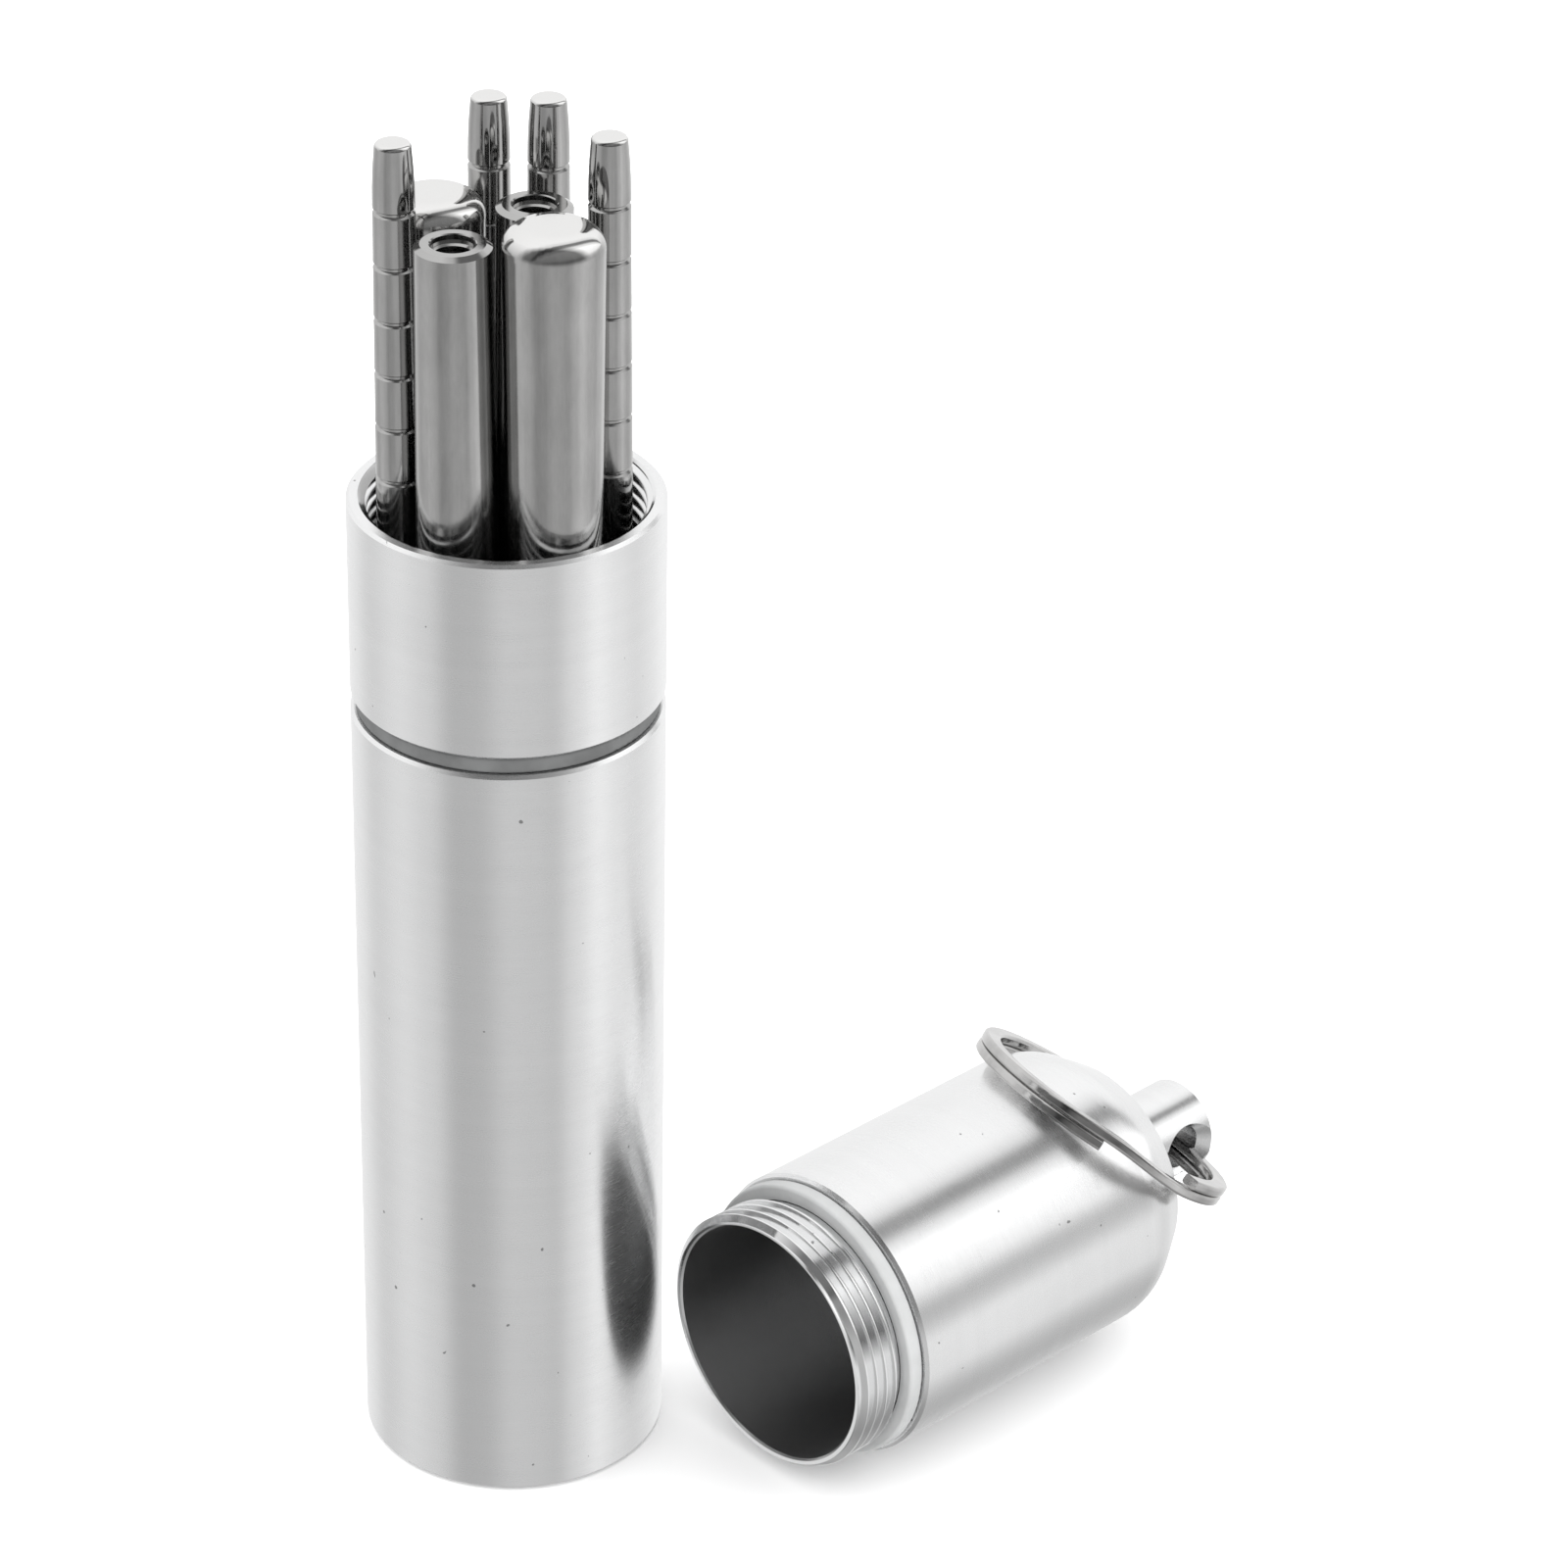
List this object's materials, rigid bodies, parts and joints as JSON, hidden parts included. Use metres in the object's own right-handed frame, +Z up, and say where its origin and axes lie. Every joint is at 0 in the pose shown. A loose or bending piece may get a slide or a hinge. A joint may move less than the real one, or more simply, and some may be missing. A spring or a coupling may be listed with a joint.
{
  "type": "chopstick keyring capsule",
  "caption": "Threaded aluminium keyring capsule standing open, its screw cap and split ring beside it, holding take-apart metal chopsticks.",
  "frame": {"origin": "centre of the body tube's base, on the table", "axes": "+Z up along the standing capsule; +X along the lying cap's axis, from its mouth to its stud; the cap lies on the -Y side"},
  "size_m": [0.0694, 0.0454, 0.1117],
  "materials": {
    "anodised_case": "satin clear anodised, fine turning marks",
    "grey_silicone": "matte moulded silicone",
    "nickel_plate": "nickel plated, polished",
    "polished_steel": "polished stainless steel",
    "machined_steel": "machined thread"
  },
  "bodies": {
    "case": {"body_tube": "anodised_case"},
    "collar_seal": {"collar_gasket": "grey_silicone"},
    "collar": {"extension_collar": "anodised_case"},
    "cap": {"screw_cap": "anodised_case", "cap_gasket": "grey_silicone"},
    "ring": {"key_ring": "nickel_plate"},
    "handle_stick_front_left": {"handle_front_left": "polished_steel", "socket_bush_front_left": "machined_steel"},
    "handle_stick_front_right": {"handle_front_right": "polished_steel", "socket_bush_front_right": "machined_steel"},
    "handle_stick_back_left": {"handle_back_left": "polished_steel", "socket_bush_back_left": "machined_steel"},
    "handle_stick_back_right": {"handle_back_right": "polished_steel", "socket_bush_back_right": "machined_steel"},
    "tip_stick_left": {"tip_rod_left": "polished_steel", "joint_screw_left": "machined_steel"},
    "tip_stick_right": {"tip_rod_right": "polished_steel", "joint_screw_right": "machined_steel"},
    "tip_stick_back_left": {"tip_rod_back_left": "polished_steel", "joint_screw_back_left": "machined_steel"},
    "tip_stick_back_right": {"tip_rod_back_right": "polished_steel", "joint_screw_back_right": "machined_steel"}
  },
  "joints": [
    {"name": "collar_rise", "type": "slide", "parent": "case", "child": "collar_seal", "axis": [0, 0, 1], "range_m": [0, 0.00501]},
    {"name": "collar_turn", "type": "hinge", "parent": "collar_seal", "child": "collar", "pos_m": [0, 0, 0.067], "axis": [0, 0, 1], "range_deg": [0, 1800]},
    {"name": "cap_lift", "type": "slide", "parent": "case", "child": "cap", "axis": [0, 0, 1], "range_m": [0, 0.12]},
    {"name": "ring_swing", "type": "hinge", "parent": "cap", "child": "ring", "pos_m": [0.05445, -0.02, 0.012], "axis": [0, 1, 0], "range_deg": [0, 172]},
    {"name": "pull_handle_front_left", "type": "slide", "parent": "case", "child": "handle_stick_front_left", "axis": [-0.0043, 0.0059, 1], "range_m": [0, 0.24]},
    {"name": "pull_handle_front_right", "type": "slide", "parent": "case", "child": "handle_stick_front_right", "axis": [0, 0, 1], "range_m": [0, 0.115]},
    {"name": "pull_handle_back_left", "type": "slide", "parent": "case", "child": "handle_stick_back_left", "axis": [0, 0, 1], "range_m": [0, 0.115]},
    {"name": "pull_handle_back_right", "type": "slide", "parent": "case", "child": "handle_stick_back_right", "axis": [0.0125, 0.0009, 0.9999], "range_m": [0, 0.24]},
    {"name": "pull_tip_left", "type": "slide", "parent": "case", "child": "tip_stick_left", "axis": [-0.0003, -0.0104, 0.9999], "range_m": [0, 0.115]},
    {"name": "pull_tip_right", "type": "slide", "parent": "case", "child": "tip_stick_right", "axis": [-0.0034, 0.0029, 1], "range_m": [0, 0.115]},
    {"name": "pull_tip_back_left", "type": "slide", "parent": "case", "child": "tip_stick_back_left", "axis": [0.0126, -0.0019, 0.9999], "range_m": [0, 0.24]},
    {"name": "pull_tip_back_right", "type": "slide", "parent": "case", "child": "tip_stick_back_right", "axis": [-0.0034, 0.0012, 1], "range_m": [0, 0.115]}
  ],
  "couplings": [
    {"joint": "collar_rise", "follows": "collar_turn", "m_per_rad": 0.00015915}
  ]
}
